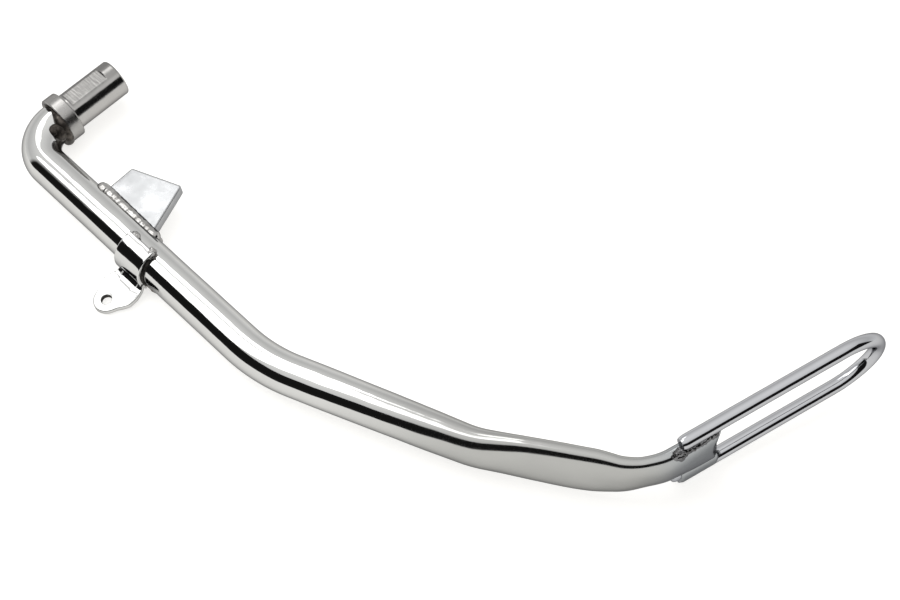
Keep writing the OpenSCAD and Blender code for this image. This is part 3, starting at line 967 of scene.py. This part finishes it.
def floor_patch(name, size):
    me = bpy.data.meshes.new(name)
    c = MIDDLE - FLOOR_N * (MIDDLE.dot(FLOOR_N) - low + FLOOR_GAP)
    corners = ((-1, -1), (1, -1), (1, 1), (-1, 1))
    me.from_pydata([tuple(c + right * x * size + ahead * y * size) for x, y in corners],
                   [], [(0, 1, 2, 3)])
    ob = bpy.data.objects.new(name, me)
    bpy.context.collection.objects.link(ob)
    m, _, b = new_material(name + "_paper")
    b.inputs["Base Color"].default_value = (0.5, 0.498, 0.49, 1)
    b.inputs["Roughness"].default_value = 0.9
    b.inputs["Specular IOR Level"].default_value = 0.05
    b.inputs["Emission Color"].default_value = (1.0, 0.99, 0.97, 1)
    b.inputs["Emission Strength"].default_value = 0.70
    me.materials.append(m)


floor_patch("floor", 1.6)

# The room: a bright tent all round and above, open and dark behind the camera.
world = bpy.data.worlds.new("room")
bpy.context.scene.world = world
world.use_nodes = True
wt = world.node_tree
bg = wt.nodes["Background"]
co = add(wt, "ShaderNodeTexCoord")


def dot_with(vec):
    n = add(wt, "ShaderNodeVectorMath", operation="DOT_PRODUCT")
    wt.links.new(co.outputs["Generated"], n.inputs[0])
    n.inputs[1].default_value = vec
    return n.outputs["Value"]


def math_node(op, a, b=None, clamp=False):
    n = add(wt, "ShaderNodeMath", operation=op, use_clamp=clamp)
    for i, v in enumerate((a, b)):
        if v is None:
            continue
        if isinstance(v, (int, float)):
            n.inputs[i].default_value = v
        else:
            wt.links.new(v, n.inputs[i])
    return n.outputs[0]


def band(value, a, b):
    n = add(wt, "ShaderNodeMapRange", interpolation_type="SMOOTHSTEP", clamp=True)
    wt.links.new(value, n.inputs["Value"])
    n.inputs["From Min"].default_value = a
    n.inputs["From Max"].default_value = b
    return n.outputs["Result"]


height = dot_with(FLOOR_N)
front = dot_with(ahead)
# ahead: grey backdrop that brightens upwards; overhead: white
rise = add(wt, "ShaderNodeMapRange", clamp=True)
wt.links.new(height, rise.inputs["Value"])
rise.inputs["From Min"].default_value = -0.1
tent = ramp(wt, rise.outputs["Result"],
            [(0.0, 0.95), (0.12, 0.85), (0.4, 0.62), (0.58, 0.68), (0.79, 0.82), (0.93, 0.95), (1.0, 1.0)])
# behind the camera: dark up to the edge of the overhead light
dark_low = band(height, 0.01, 0.035)
dark_high = band(height, 0.672, 0.655)
dark_back = band(front, 0.12, -0.02)
dark = math_node("MULTIPLY", math_node("MULTIPLY", dark_low, dark_high), dark_back)
keep = math_node("SUBTRACT", 1.0, math_node("MULTIPLY", dark, 0.985))
strength = math_node("MULTIPLY", math_node("MULTIPLY", tent.outputs["Color"], 1.3), keep)
wt.links.new(strength, bg.inputs["Strength"])
bg.inputs["Color"].default_value = (1.0, 1.0, 1.0, 1)


def softbox(name, across, along, height, size, radiance):
    """A level panel over the floor, facing down; places are metres right of and ahead of the stand."""
    data = bpy.data.lights.new(name, "AREA")
    data.shape = "RECTANGLE"
    data.size, data.size_y = size
    data.energy = radiance * math.pi * size[0] * size[1]
    ob = bpy.data.objects.new(name, data)
    bpy.context.collection.objects.link(ob)
    place = MIDDLE + right * across + ahead * along + FLOOR_N * height
    ob.matrix_world = Matrix.Translation(place) @ Matrix((right, ahead, FLOOR_N)).transposed().to_4x4()


softbox("softbox", -0.675, 0.11, 0.9, (0.95, 0.52), 2.1)
softbox("small_softbox", -0.34, 0.6, 0.9, (0.5, 0.3), 2.1)

cam_data = bpy.data.cameras.new("camera")
cam_data.sensor_width = 36.0
cam_data.lens = 63.44
cam_data.clip_start = 0.01
cam = bpy.data.objects.new("camera", cam_data)
bpy.context.collection.objects.link(cam)
up = right.cross(LOOK).normalized()
rot = Matrix((right, up, -LOOK)).transposed().to_4x4()
cam.matrix_world = Matrix.Translation(CAM) @ rot
bpy.context.scene.camera = cam

scene = bpy.context.scene
scene.view_settings.view_transform = "Standard"
scene.view_settings.look = "None"
